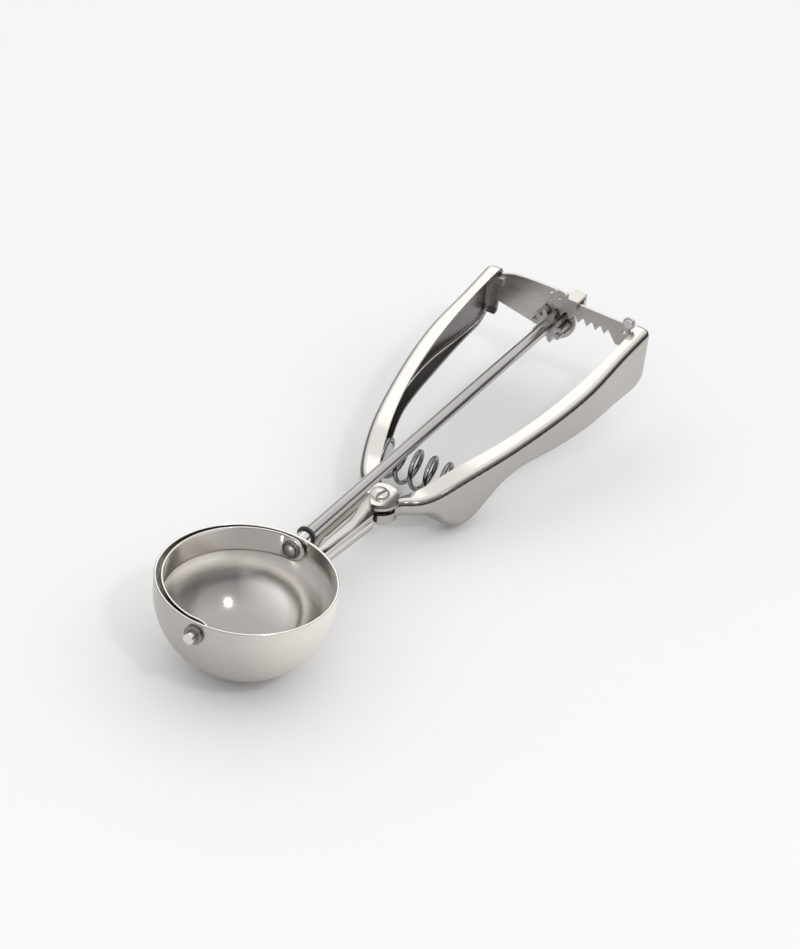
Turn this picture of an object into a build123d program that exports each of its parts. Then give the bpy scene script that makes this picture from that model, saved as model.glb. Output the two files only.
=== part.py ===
from build123d import *
from math import acos, cos, pi, radians, sin, tan
import os

os.makedirs("parts", exist_ok=True)

# All lengths are millimetres. The bowl's centre stands over the origin, the drive rod runs along +X
# to the handles, and the bowl's lowest point is at z = 0.

# bowl
bowl_radius = 25.8
bowl_wall = 0.8
rim_height = 4.0
bowl_bore = bowl_radius - bowl_wall

# scraper blade
blade_width = 8.0
blade_sheet = 0.6
blade_ear_face = bowl_bore - 0.9
blade_back = bowl_bore - 1.3
ear_flat = 3.0
tenon_radius = 1.2

# bearings in the bowl wall
running_fit = 0.05
journal_radius = 1.5
front_pin_radius = 1.65
front_pin_tip = bowl_radius + 3.2
bush_radius = 2.3
bush_flange_radius = 2.7
bush_flange = 0.4
rear_bush_length = 5.2

# drive rod and pinion
rod_radius = 2.0
rod_start = bowl_radius + rear_bush_length + 0.9
rod_clip_radius = 3.1
rod_clip_thickness = 0.6
module = 1.0
tooth_count = 10
pressure_angle = radians(30)
backlash = 0.36
pitch_radius = module * tooth_count / 2
pinion_tip_radius = pitch_radius + 0.7 * module
pinion_root_radius = pitch_radius - 1.2 * module
pinion_length = 5.1
pinion_pin_radius = 0.5

# levers
lever_sheet = 1.0
bend_radius = 2.2
pivot_x = 73.8
pivot_shank = 2.0
ear_radius = 5.9
ear_gap = 0.15
rim_wall = 3.2
inner_ear_radius = ear_radius - lever_sheet - 0.9
rest_opening = 3.3
lever_swing = 8.5
lever_end = 183.2
tip_radius = 2.8
corner_radius = 9.5
lever_top = -9.0
grip_slope = 0.17
grip_bottom = -11.3
bump_bottom = -23.8
tongue_sheet = 1.2
rivet_head_radius = 3.1
rivet_head_height = 1.7
washer_thickness = 0.5

# stem
stem_sheet = 1.2
stem_end = 62.7
stem_half_width = 4.4
strip_half_width = 3.3
strip_height = -rod_radius - 0.35
tongue_half_width = 2.0
tongue_eye = 3.8

# return spring
spring_x = pivot_x + 23.4
spring_z = -13.3
spring_radius = 6.3
spring_wire = 1.5
spring_pitch = 5.2
spring_seat_radius = 5.8
spring_start = -16.9
spring_turns = 5.9

# rack, bracket and guide
rack_toe = 1.5
rack_sheet = 1.0
rack_clear = 0.05
rack_depth = 0.95 * module
rack_top = 10.5
bracket_face = lever_end - lever_sheet - 1.9
bracket_sheet = 1.0
bracket_lobe = 7.0
guide_face = bracket_face - 4.9
guide_sheet = 0.9
rack_distance = bracket_face - pivot_x - 2.9
small_rivet = 0.8
rod_end = guide_face - 0.9

# stack of ears and tongues at the pivot, from the top down
left_top = lever_top
right_top = left_top - lever_sheet - ear_gap
tongue_top = right_top - lever_sheet - ear_gap
tongue_bottom = tongue_top - 2 * tongue_sheet
left_bottom = tongue_bottom - ear_gap - lever_sheet
right_bottom = left_bottom - ear_gap - lever_sheet
washer_bottom = right_bottom - ear_gap - washer_thickness

# working planes: level through the rod's axis, lengthwise upright, and square across the rod
level = Plane(origin=(0, 0, bowl_radius), x_dir=(1, 0, 0), z_dir=(0, 0, 1))
side = Plane(origin=(0, 0, bowl_radius), x_dir=(1, 0, 0), z_dir=(0, -1, 0))
cross = Plane(origin=(0, 0, bowl_radius), x_dir=(0, 1, 0), z_dir=(1, 0, 0))

# the right lever is the left one mirrored and swung open about the pivot, so its planes look down
swing_cos = cos(radians(rest_opening))
swing_sin = sin(radians(rest_opening))
right_origin = (pivot_x * (1 - swing_cos), pivot_x * swing_sin, bowl_radius)
right_level = Plane(origin=right_origin, x_dir=(swing_cos, -swing_sin, 0), z_dir=(0, 0, -1))
right_side = Plane(
    origin=right_origin,
    x_dir=(swing_cos, -swing_sin, 0),
    z_dir=(-swing_sin, -swing_cos, 0),
)

# the rack lies square to the rod when the levers have closed by the toe angle
toe_cos = cos(radians(rack_toe))
toe_sin = sin(radians(rack_toe))
rack_foot = (pivot_x + rack_distance * toe_cos, -rack_distance * toe_sin, bowl_radius)
rack_plane = Plane(origin=rack_foot, x_dir=(-toe_sin, -toe_cos, 0), z_dir=(-toe_cos, toe_sin, 0))
rack_middle = -rack_distance * tan(radians(rack_toe))


def inset_point(x, y, slope, inset):
    """Point moved square to a line of the given slope, below the line when inset is positive."""
    length = (1 + slope * slope) ** 0.5
    return (x + inset * slope / length, y - inset / length)


def lever_plan(front, inset):
    """Region on the inner side of a lever's outer face, seen from above."""
    start = inset_point(pivot_x, ear_radius, 0, inset)
    tip = (lever_end - tip_radius, 26.8 - inset)
    end = (lever_end - inset, 26.8 - tip_radius)
    Line((front, start[1]), start)
    Spline(
        start,
        inset_point(pivot_x + 5, 9.1, 0.75, inset),
        inset_point(pivot_x + 11, 13.3, 0.6, inset),
        inset_point(pivot_x + 19, 16.8, 0.35, inset),
        inset_point(pivot_x + 35, 21.5, 0.23, inset),
        inset_point(pivot_x + 49, 24.3, 0.18, inset),
        inset_point(pivot_x + 64, 26.5, 0.11, inset),
        inset_point(pivot_x + 78, 27.3, 0.01, inset),
        inset_point(pivot_x + 90, 26.9, -0.06, inset),
        tip,
        tangents=((1, 0), (1, 0)),
    )
    CenterArc((tip[0], end[1]), tip_radius - inset, 90, -90)
    Line(end, (end[0], -45))
    Line((end[0], -45), (front, -45))
    Line((front, -45), (front, start[1]))


def lever_profile(front, top, bottom, inset):
    """Outline of a lever seen from the side, with the hump that houses the spring."""
    grip = pivot_x + 48
    tail = lever_end + 2
    rise = lever_top + grip_slope * 48
    start = inset_point(pivot_x + 6, top, 0, inset)
    grip_start = inset_point(grip, rise, grip_slope, inset)
    grip_end = inset_point(tail, rise + grip_slope * (tail - grip), grip_slope, inset)
    corner = (lever_end - 8, grip_bottom + corner_radius)
    turn = radians(-20)
    corner_top = (
        corner[0] + (corner_radius - inset) * cos(turn),
        corner[1] + (corner_radius - inset) * sin(turn),
    )
    corner_end = (lever_end - 8, grip_bottom + inset)
    hump_end = (grip, grip_bottom + inset)
    hump_start = (pivot_x + 6.6, bottom + inset)
    Line((front, start[1]), start)
    Spline(
        start,
        inset_point(pivot_x + 18.5, lever_top + 2.1, 0.28, inset),
        inset_point(pivot_x + 23.5, lever_top + 3.6, 0.28, inset),
        inset_point(pivot_x + 38, rise - 1.75, 0.18, inset),
        grip_start,
        tangents=((1, 0), (1, grip_slope)),
    )
    Line(grip_start, grip_end)
    Line(grip_end, (grip_end[0], corner_top[1]))
    Line((grip_end[0], corner_top[1]), corner_top)
    CenterArc(corner, corner_radius - inset, -20, -70)
    Line(corner_end, hump_end)
    Spline(
        hump_end,
        inset_point(pivot_x + 36, grip_bottom - 2.9, 0.8, -inset),
        inset_point(pivot_x + 29, grip_bottom - 8.7, 0.8, -inset),
        inset_point(pivot_x + 22.2, bump_bottom, 0, -inset),
        inset_point(pivot_x + 13.5, grip_bottom - 8.2, -0.75, -inset),
        hump_start,
        tangents=((-1, 0), (-1, 0)),
    )
    Line(hump_start, (front, bottom + inset))
    Line((front, bottom + inset), (front, start[1]))


def inner_edge():
    """Line along which both flanges of a lever end, from the ear to the tip."""
    Spline(
        (pivot_x + 3.5, 4.1),
        (pivot_x + 6.5, 5.3),
        (pivot_x + 18.6, 10.2),
        (pivot_x + 33.5, 15.4),
        (pivot_x + 56, 20.2),
        (pivot_x + 84.5, 22.4),
        (pivot_x + 96, 22.4),
        (lever_end + 0.5, 21.8),
    )


def trim_line():
    """Boundary of the space between a lever's flanges and the rod, closed well inside."""
    inner_edge()
    Line((lever_end + 0.5, 21.8), (lever_end + 5, 21.8))
    Line((lever_end + 5, 21.8), (lever_end + 5, -60))
    Line((lever_end + 5, -60), (pivot_x - 15, -60))
    Line((pivot_x - 15, -60), (pivot_x - 15, 4.1))
    Line((pivot_x - 15, 4.1), (pivot_x + 3.5, 4.1))


def lower_trim_line():
    """Boundary of the lower flange, which narrows to nothing at the lever's tip."""
    Spline(
        (pivot_x + 33.5, 15.4),
        (pivot_x + 45, 17.9),
        (pivot_x + 58, 20.3),
        (pivot_x + 74, 22.3),
        (pivot_x + 90, 23.9),
        (lever_end + 1, 25.0),
    )
    Line((lever_end + 1, 25.0), (lever_end + 5, -10))
    Line((lever_end + 5, -10), (pivot_x + 33.5, -10))
    Line((pivot_x + 33.5, -10), (pivot_x + 33.5, 15.4))


def rim_wall_line():
    """Strip of the lever's wall that follows the rim of the ears round towards the neck."""
    CenterArc((pivot_x, 0), ear_radius, 148, -58)
    Line((pivot_x, ear_radius), (pivot_x, ear_radius - lever_sheet))
    CenterArc((pivot_x, 0), ear_radius - lever_sheet, 90, 58)
    reach = (cos(radians(148)), sin(radians(148)))
    inner = ear_radius - lever_sheet
    Line(
        (pivot_x + inner * reach[0], inner * reach[1]),
        (pivot_x + ear_radius * reach[0], ear_radius * reach[1]),
    )


def outer_edges(part_edges, plane):
    """Edges along the top and bottom of a lever's outer face, where the sheet is bent."""
    found = []
    for edge in part_edges:
        start = plane.to_local_coords(edge @ 0)
        end = plane.to_local_coords(edge @ 1)
        upright = abs(end.Z - start.Z) > 3 * max(abs(end.X - start.X), abs(end.Y - start.Y))
        at_tip = min(start.X, end.X) > lever_end - 1.5
        if (min(start.Y, end.Y) > 5 or at_tip) and not upright and max(start.Y, end.Y) > 0:
            found.append(edge)
    return found


def rack_tooth_line():
    """Lower edge of the rack: seven teeth on the pitch line, from the free end towards the lever."""
    slope = tan(pressure_angle)
    half_tooth = (pi * module - backlash) / 4
    points = []
    for number in range(0, 7):
        middle = rack_middle + number * pi * module
        foot = half_tooth + rack_depth * slope
        tip = half_tooth - rack_depth * slope
        valley = pitch_radius + rack_clear + rack_depth
        crest = pitch_radius + rack_clear - rack_depth
        points.append((middle - foot, valley))
        points.append((middle - tip, crest))
        points.append((middle + tip, crest))
        points.append((middle + foot, valley))
    return points


def pinion_outline():
    """Closed outline of the pinion, a gap between teeth facing the rack."""
    base_radius = pitch_radius * cos(pressure_angle)
    half_angle = (pi * module - backlash) / 4 / pitch_radius
    spread = tan(pressure_angle) - pressure_angle
    radii = [base_radius, base_radius + 0.45, base_radius + 0.9, pinion_tip_radius]
    flank = [(pinion_root_radius, half_angle + spread)]
    for radius in radii:
        roll = acos(base_radius / radius)
        flank.append((radius, half_angle + spread - tan(roll) + roll))
    points = []
    for number in range(tooth_count):
        middle = pi / 2 + (number + 0.5) * 2 * pi / tooth_count
        for radius, angle in flank:
            points.append((radius * cos(middle - angle), radius * sin(middle - angle)))
        for radius, angle in reversed(flank):
            points.append((radius * cos(middle + angle), radius * sin(middle + angle)))
    return points


def upper_shell_section(top, seam, strip, inset):
    """Section across the stem's upper shell: a flat strip with hollow flanks down to the seam."""
    crown = (strip - 0.8 * inset, top - inset)
    foot = (stem_half_width - inset, seam - 0.4 * inset)
    bow = (0.5 * crown[0] + 0.5 * foot[0] - 0.3, 0.5 * (crown[1] + foot[1]))
    Line((-crown[0], crown[1]), crown)
    ThreePointArc(crown, bow, foot)
    Line(foot, (-foot[0], foot[1]))
    ThreePointArc((-foot[0], foot[1]), (-bow[0], bow[1]), (-crown[0], crown[1]))


def lower_shell_section(seam, bottom, inset):
    """Section across the stem's lower shell: full flanks that turn in to a flat bottom."""
    rim = (stem_half_width - inset, seam + 0.4 * inset)
    flank = (stem_half_width - inset, seam - 1.5)
    base = (stem_half_width - 2.6, bottom + inset)
    turn = (stem_half_width - 0.8 - inset, bottom + 0.8 + inset)
    Line((-rim[0], rim[1]), rim)
    Line(rim, flank)
    ThreePointArc(flank, turn, base)
    Line(base, (-base[0], base[1]))
    ThreePointArc((-base[0], base[1]), (-turn[0], turn[1]), (-flank[0], flank[1]))
    Line((-flank[0], flank[1]), (-rim[0], rim[1]))


# bowl: a drawn hemisphere with a short straight rim and a bearing hole at each end of the rod's line
with BuildPart() as bowl:
    with BuildSketch(side):
        with BuildLine():
            CenterArc((0, 0), bowl_radius, -90, 90)
            Line((bowl_radius, 0), (bowl_radius, rim_height))
            Line((bowl_radius, rim_height), (bowl_bore, rim_height))
            Line((bowl_bore, rim_height), (bowl_bore, 0))
            CenterArc((0, 0), bowl_bore, -90, 90)
            Line((0, -bowl_bore), (0, -bowl_radius))
        make_face()
    revolve(axis=Axis((0, 0, bowl_radius), (0, 0, 1)))
    with BuildSketch(cross.offset(-bowl_radius - 1)):
        Circle(bush_radius)
    extrude(amount=2 * bowl_radius + 2, mode=Mode.SUBTRACT)

# scraper blade: a half ring of thin band whose rounded ends are pierced on the rod's axis
with BuildPart() as scraper_blade:
    with BuildSketch(level.offset(-blade_width / 2)):
        with BuildLine():
            ThreePointArc((-blade_ear_face, ear_flat), (0, blade_back), (blade_ear_face, ear_flat))
            Line((blade_ear_face, ear_flat), (blade_ear_face, -blade_width / 2))
            Line((blade_ear_face, -blade_width / 2), (-blade_ear_face, -blade_width / 2))
            Line((-blade_ear_face, -blade_width / 2), (-blade_ear_face, ear_flat))
        make_face()
        with BuildLine():
            inner = blade_ear_face - blade_sheet
            ThreePointArc((-inner, ear_flat), (0, blade_back - blade_sheet), (inner, ear_flat))
            Line((inner, ear_flat), (inner, -blade_width))
            Line((inner, -blade_width), (-inner, -blade_width))
            Line((-inner, -blade_width), (-inner, ear_flat))
        make_face(mode=Mode.SUBTRACT)
    extrude(amount=blade_width)
    with BuildSketch(cross.offset(-bowl_radius)):
        Circle(blade_width / 2)
        with Locations((bowl_radius, 0)):
            Rectangle(2 * bowl_radius, 2 * bowl_radius)
        Circle(tenon_radius, mode=Mode.SUBTRACT)
    extrude(amount=2 * bowl_radius, mode=Mode.INTERSECT)

# front pin: riveted to the blade's front ear and turning in the front bearing
with BuildPart() as front_pin:
    with BuildSketch(cross.offset(-front_pin_tip)):
        Circle(front_pin_radius)
    extrude(amount=front_pin_tip - blade_ear_face)
    chamfer(front_pin.faces().sort_by(Axis.X)[0].edges(), 0.3)
    with BuildSketch(cross.offset(-blade_ear_face)):
        Circle(tenon_radius)
    extrude(amount=blade_sheet)
    with BuildSketch(cross.offset(-blade_ear_face + blade_sheet)):
        Circle(2.4)
    extrude(amount=0.6)

# front bearing: a bush through the bowl wall with a flange inside and a collar outside
with BuildPart() as front_bearing:
    with BuildSketch(cross.offset(-bowl_radius - 0.9)):
        Circle(bush_radius)
    extrude(amount=bowl_wall + 1.3)
    with BuildSketch(cross.offset(-bowl_bore + 0.2)):
        Circle(bush_flange_radius)
    extrude(amount=bush_flange)
    with BuildSketch(cross.offset(-bowl_radius - 0.9)):
        Circle(bush_flange_radius + 0.2)
    extrude(amount=0.9)
    with BuildSketch(cross.offset(-bowl_radius - 2)):
        Circle(front_pin_radius + running_fit)
    extrude(amount=4, mode=Mode.SUBTRACT)

# rear bearing: a long bush through the bowl wall that carries the front end of the rod
with BuildPart() as rear_bearing:
    with BuildSketch(cross.offset(bowl_bore - 0.6)):
        Circle(bush_radius - running_fit)
    extrude(amount=rear_bush_length + bowl_wall + 0.6)
    with BuildSketch(cross.offset(bowl_bore - 0.6)):
        Circle(bush_flange_radius)
    extrude(amount=bush_flange)
    with BuildSketch(cross.offset(bowl_bore - 2)):
        Circle(journal_radius + running_fit)
    extrude(amount=rear_bush_length + 5, mode=Mode.SUBTRACT)

# drive rod: turned down at both ends, with a tenon riveted over in the blade's rear ear
with BuildPart() as drive_rod:
    with BuildSketch(cross.offset(rod_start)):
        Circle(rod_radius)
    extrude(amount=rod_end - rod_start)
    with BuildSketch(cross.offset(blade_ear_face)):
        Circle(journal_radius)
    extrude(amount=bracket_face + bracket_sheet + 0.7 - blade_ear_face)
    with BuildSketch(cross.offset(blade_ear_face - blade_sheet - 1.0)):
        Circle(tenon_radius)
    extrude(amount=blade_sheet + 1.0)
    with BuildSketch(cross.offset(blade_ear_face - blade_sheet - 1.0)):
        Circle(1.8)
    extrude(amount=0.5)
    with BuildSketch(cross.offset(bracket_face + bracket_sheet + 0.7)):
        Circle(1.9)
    extrude(amount=0.6, taper=20)
    with BuildSketch(level.offset(-rod_radius - 1)):
        with Locations((rod_end + 1.2, 0)):
            Circle(pinion_pin_radius)
    extrude(amount=2 * rod_radius + 2, mode=Mode.SUBTRACT)

# washer under the riveted end of the rod, inside the bowl
with BuildPart() as blade_washer:
    with BuildSketch(cross.offset(blade_ear_face - blade_sheet - 0.5)):
        Circle(2.8)
        Circle(tenon_radius, mode=Mode.SUBTRACT)
    extrude(amount=0.5)

# clip ring against the rod's front shoulder
with BuildPart() as rod_clip:
    with BuildSketch(cross.offset(rod_start - rod_clip_thickness)):
        Circle(rod_clip_radius)
        Circle(journal_radius, mode=Mode.SUBTRACT)
        with Locations((0, -rod_clip_radius)):
            Rectangle(1.6, 2 * (rod_clip_radius - journal_radius) + 0.6, mode=Mode.SUBTRACT)
    extrude(amount=rod_clip_thickness)

# stem: two pressed shells form a hollow neck welded to the bowl, and end in flat tongues at the pivot
neck_seam = (-6.3, -6.3, -6.6, -7.4, -8.2)
neck_places = (bowl_radius - 4, 32.5, 37.5, 51.0, stem_end)
neck_strips = (strip_half_width, strip_half_width, strip_half_width, strip_half_width, 2.2)
neck_tops = (-3.7, -3.7, strip_height, strip_height, strip_height)
neck_bottoms = (-12.6, -12.8, -13.2, -14.3, -15.4)

with BuildPart() as stem_upper:
    for place, top, seam, strip in zip(neck_places, neck_tops, neck_seam, neck_strips):
        with BuildSketch(cross.offset(place)):
            with BuildLine():
                upper_shell_section(top, seam, strip, 0)
            make_face()
    loft(ruled=True)
    with BuildSketch(side.offset(-tongue_half_width)):
        with BuildLine():
            Polyline(
                (stem_end, strip_height),
                (stem_end + 1.2, strip_height),
                (stem_end + 3.6, tongue_top),
                (pivot_x, tongue_top),
                (pivot_x, tongue_top - tongue_sheet),
                (stem_end, tongue_top - tongue_sheet),
                close=True,
            )
        make_face()
    extrude(amount=2 * tongue_half_width)
    for place, top, seam, strip in zip(neck_places, neck_tops, neck_seam, neck_strips):
        with BuildSketch(cross.offset(place)):
            with BuildLine():
                upper_shell_section(top, seam, strip, stem_sheet)
            make_face()
    loft(ruled=True, mode=Mode.SUBTRACT)
    with BuildSketch(side.offset(-tongue_half_width + stem_sheet)):
        with BuildLine():
            Polyline(
                (stem_end - 1, strip_height - stem_sheet),
                (stem_end + 0.3, strip_height - stem_sheet),
                (stem_end + 2.4, tongue_top - stem_sheet),
                (stem_end - 1, tongue_top - stem_sheet),
                close=True,
            )
        make_face()
    extrude(amount=2 * (tongue_half_width - stem_sheet), mode=Mode.SUBTRACT)
    with BuildSketch(level.offset(tongue_top)):
        with Locations((pivot_x, 0)):
            Circle(tongue_eye)
    extrude(amount=-tongue_sheet)
    with BuildSketch(level.offset(tongue_top + 1)):
        with Locations((pivot_x, 0)):
            Circle(pivot_shank)
    extrude(amount=-6, mode=Mode.SUBTRACT)
    with Locations((0, 0, bowl_radius)):
        Sphere(bowl_radius, mode=Mode.SUBTRACT)

with BuildPart() as stem_lower:
    for place, seam, bottom in zip(neck_places, neck_seam, neck_bottoms):
        with BuildSketch(cross.offset(place)):
            with BuildLine():
                lower_shell_section(seam, bottom, 0)
            make_face()
    loft(ruled=True)
    for place, seam, bottom in zip(neck_places, neck_seam, neck_bottoms):
        with BuildSketch(cross.offset(place)):
            with BuildLine():
                lower_shell_section(seam, bottom, stem_sheet)
            make_face()
    loft(ruled=True, mode=Mode.SUBTRACT)
    with BuildSketch(side.offset(-tongue_half_width)):
        with BuildLine():
            Polyline(
                (stem_end - 1, neck_bottoms[-1] + stem_sheet),
                (stem_end + 0.4, neck_bottoms[-1] + stem_sheet),
                (stem_end + 2.2, tongue_bottom + tongue_sheet),
                (pivot_x, tongue_bottom + tongue_sheet),
                (pivot_x, tongue_bottom),
                (stem_end + 2.6, tongue_bottom),
                (stem_end, neck_bottoms[-1]),
                (stem_end - 1, neck_bottoms[-1]),
                close=True,
            )
        make_face()
    extrude(amount=2 * tongue_half_width)
    with BuildSketch(level.offset(tongue_bottom)):
        with Locations((pivot_x, 0)):
            Circle(tongue_eye)
    extrude(amount=tongue_sheet)
    with BuildSketch(level.offset(tongue_bottom - 1)):
        with Locations((pivot_x, 0)):
            Circle(pivot_shank)
    extrude(amount=4, mode=Mode.SUBTRACT)
    with Locations((0, 0, bowl_radius)):
        Sphere(bowl_radius, mode=Mode.SUBTRACT)

# spaces inside the two levers' channels, used to hollow the levers and to shape what sits in them
with BuildPart() as left_cavity:
    with BuildSketch(level.offset(-30)):
        with BuildLine():
            lever_plan(pivot_x - 12, lever_sheet)
        make_face()
    extrude(amount=50)
    with BuildSketch(side.offset(-60)):
        with BuildLine():
            lever_profile(pivot_x - 12, left_top, left_bottom, lever_sheet)
        make_face()
    extrude(amount=120, mode=Mode.INTERSECT)
    fillet(outer_edges(left_cavity.edges(), level), bend_radius - lever_sheet)

with BuildPart() as right_cavity:
    with BuildSketch(right_level.offset(30)):
        with BuildLine():
            lever_plan(pivot_x - 12, lever_sheet)
        make_face()
    extrude(amount=-50)
    with BuildSketch(right_side.offset(-60)):
        with BuildLine():
            lever_profile(pivot_x - 12, right_top, right_bottom, lever_sheet)
        make_face()
    extrude(amount=120, mode=Mode.INTERSECT)
    fillet(outer_edges(right_cavity.edges(), right_level), bend_radius - lever_sheet)

# left lever: a bent channel open towards the rod, with an ear above and below the pivot
with BuildPart() as left_lever:
    with BuildSketch(level.offset(-30)):
        with BuildLine():
            lever_plan(pivot_x - 2, 0)
        make_face()
    extrude(amount=50)
    with BuildSketch(side.offset(-60)):
        with BuildLine():
            lever_profile(pivot_x, left_top, left_bottom, 0)
        make_face()
    extrude(amount=120, mode=Mode.INTERSECT)
    fillet(outer_edges(left_lever.edges(), level), bend_radius)
    add(left_cavity.part, mode=Mode.SUBTRACT)
    with BuildSketch(level.offset(-30)):
        with BuildLine():
            trim_line()
        make_face()
    extrude(amount=50, mode=Mode.SUBTRACT)
    with BuildSketch(level.offset(-30)):
        with BuildLine():
            lower_trim_line()
        make_face()
    extrude(amount=22, mode=Mode.SUBTRACT)
    with BuildSketch(level.offset(left_top)):
        with BuildLine():
            rim_wall_line()
        make_face()
    extrude(amount=-rim_wall)
    with BuildSketch(level.offset(left_top)):
        with Locations((pivot_x, 0)):
            Circle(ear_radius)
    extrude(amount=-lever_sheet)
    with BuildSketch(level.offset(left_bottom)):
        with Locations((pivot_x, 0)):
            Circle(ear_radius)
        with Locations((pivot_x, ear_radius + 2)):
            Rectangle(3 * ear_radius, 2 * ear_radius, mode=Mode.INTERSECT)
        with Locations((pivot_x, 0)):
            Circle(inner_ear_radius)
    extrude(amount=lever_sheet)
    with BuildSketch(level.offset(left_top + 1)):
        with Locations((pivot_x, 0)):
            Circle(pivot_shank)
    extrude(amount=-12, mode=Mode.SUBTRACT)

# right lever: the mirrored stamping, its ears set between the left lever's ears
with BuildPart() as right_lever:
    with BuildSketch(right_level.offset(30)):
        with BuildLine():
            lever_plan(pivot_x - 2, 0)
        make_face()
    extrude(amount=-50)
    with BuildSketch(right_side.offset(-60)):
        with BuildLine():
            lever_profile(pivot_x, right_top, right_bottom, 0)
        make_face()
    extrude(amount=120, mode=Mode.INTERSECT)
    fillet(outer_edges(right_lever.edges(), right_level), bend_radius)
    add(right_cavity.part, mode=Mode.SUBTRACT)
    with BuildSketch(right_level.offset(30)):
        with BuildLine():
            trim_line()
        make_face()
    extrude(amount=-50, mode=Mode.SUBTRACT)
    with BuildSketch(right_level.offset(30)):
        with BuildLine():
            lower_trim_line()
        make_face()
    extrude(amount=-22, mode=Mode.SUBTRACT)
    with BuildSketch(right_level.offset(-right_bottom)):
        with BuildLine():
            rim_wall_line()
        make_face()
    extrude(amount=-rim_wall)
    with BuildSketch(right_level.offset(-right_top)):
        with Locations((pivot_x, 0)):
            Circle(ear_radius)
        with Locations((pivot_x, ear_radius + 2)):
            Rectangle(3 * ear_radius, 2 * ear_radius, mode=Mode.INTERSECT)
        with Locations((pivot_x, 0)):
            Circle(inner_ear_radius)
    extrude(amount=lever_sheet)
    with BuildSketch(right_level.offset(-right_bottom)):
        with Locations((pivot_x, 0)):
            Circle(ear_radius)
    extrude(amount=-lever_sheet)
    with BuildSketch(right_level.offset(-right_top - 1)):
        with Locations((pivot_x, 0)):
            Circle(pivot_shank + running_fit)
    extrude(amount=12, mode=Mode.SUBTRACT)

# pivot rivet: domed head on top, shank through ears and tongues, riveted over a washer below
with BuildPart() as pivot_rivet:
    with BuildSketch(level.offset(washer_bottom)):
        with Locations((pivot_x, 0)):
            Circle(pivot_shank)
    extrude(amount=left_top - washer_bottom)
    with BuildSketch(level.offset(left_top)):
        with Locations((pivot_x, 0)):
            Circle(rivet_head_radius)
    extrude(amount=rivet_head_height)
    fillet(pivot_rivet.faces().sort_by(Axis.Z)[-1].edges(), 0.85 * rivet_head_height)
    with BuildSketch(level.offset(washer_bottom)):
        with Locations((pivot_x, 0)):
            Circle(rivet_head_radius)
    extrude(amount=-0.9, taper=25)

with BuildPart() as pivot_washer:
    with BuildSketch(level.offset(washer_bottom)):
        with Locations((pivot_x, 0)):
            Circle(rivet_head_radius + 1)
            Circle(pivot_shank, mode=Mode.SUBTRACT)
    extrude(amount=washer_thickness)

# return spring: an open compression coil lying across, under the rod
spring_foot = Plane(
    origin=(spring_x, spring_start, bowl_radius + spring_z),
    x_dir=(1, 0, 0),
    z_dir=(0, 1, 0),
)
spring_length = spring_turns * spring_pitch
with BuildPart() as return_spring:
    coil_radius = spring_radius - spring_wire / 2
    with BuildLine():
        coil = Helix(
            pitch=spring_pitch,
            height=spring_length,
            radius=coil_radius,
            center=spring_foot.origin,
            direction=(0, 1, 0),
        )
    with BuildSketch(Plane(origin=coil @ 0, z_dir=coil % 0)):
        Circle(spring_wire / 2)
    sweep(is_frenet=True)

# spring seats: turned buttons fixed inside the humps, each with a boss inside the coil
with BuildPart() as spring_seat_left:
    with BuildSketch(spring_foot.offset(spring_length + spring_wire / 2 + 0.05)):
        Circle(spring_seat_radius)
    extrude(amount=12)
    with BuildSketch(spring_foot.offset(spring_length - 2.2)):
        Circle(spring_radius - spring_wire - 0.4)
    extrude(amount=8)
    add(left_cavity.part, mode=Mode.INTERSECT)

with BuildPart() as spring_seat_right:
    with BuildSketch(spring_foot.offset(-spring_wire / 2 - 0.05)):
        Circle(spring_seat_radius)
    extrude(amount=-12)
    with BuildSketch(spring_foot.offset(2.2)):
        Circle(spring_radius - spring_wire - 0.4)
    extrude(amount=-8)
    add(right_cavity.part, mode=Mode.INTERSECT)

# pinion on the rod's rear end, held by a cross pin
with BuildPart() as pinion:
    with BuildSketch(cross.offset(rod_end)):
        with BuildLine():
            Polyline(*pinion_outline(), close=True)
        make_face()
        Circle(journal_radius, mode=Mode.SUBTRACT)
    extrude(amount=pinion_length)
    with BuildSketch(level.offset(-pinion_tip_radius - 1)):
        with Locations((rod_end + 1.2, 0)):
            Circle(pinion_pin_radius)
    extrude(amount=2 * pinion_tip_radius + 2, mode=Mode.SUBTRACT)

with BuildPart() as pinion_pin:
    with BuildSketch(level.offset(-pinion_root_radius + 0.1)):
        with Locations((rod_end + 1.2, 0)):
            Circle(pinion_pin_radius)
    extrude(amount=2 * pinion_root_radius - 0.2)

# washer behind the bracket, under the riveted rear end of the rod
with BuildPart() as rod_end_washer:
    with BuildSketch(cross.offset(bracket_face + bracket_sheet + 0.2)):
        Circle(2.6)
        Circle(journal_radius, mode=Mode.SUBTRACT)
    extrude(amount=0.5)

# rack plate: flat, toothed below, joined to its lug by a rivet in the round lobe at its end
with BuildPart() as rack_plate:
    with BuildSketch(rack_plane.offset(-rack_sheet / 2)):
        with BuildLine():
            teeth = rack_tooth_line()
            last = teeth[-1]
            Polyline(
                (teeth[0][0] - 0.4, rack_top),
                (teeth[0][0] - 0.4, teeth[0][1]),
                *teeth,
                (last[0] + 3.1, 2.1),
                (rack_middle + 29.2, 2.1),
                (rack_middle + 29.2, 6.7),
                (rack_middle + 27.4, 6.7),
                (rack_middle + 27.4, 9.4),
                (rack_middle + 26.4, rack_top),
                close=True,
            )
        make_face()
        with Locations((rack_middle + 26.7, rack_top + 0.6)):
            Circle(2.0)
            Circle(small_rivet, mode=Mode.SUBTRACT)
        with Locations((rack_middle + 25.6, 7.4)):
            Circle(0.55, mode=Mode.SUBTRACT)
        with Locations((rack_middle + 27.6, 4.2)):
            Circle(small_rivet, mode=Mode.SUBTRACT)
    extrude(amount=rack_sheet)

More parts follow.
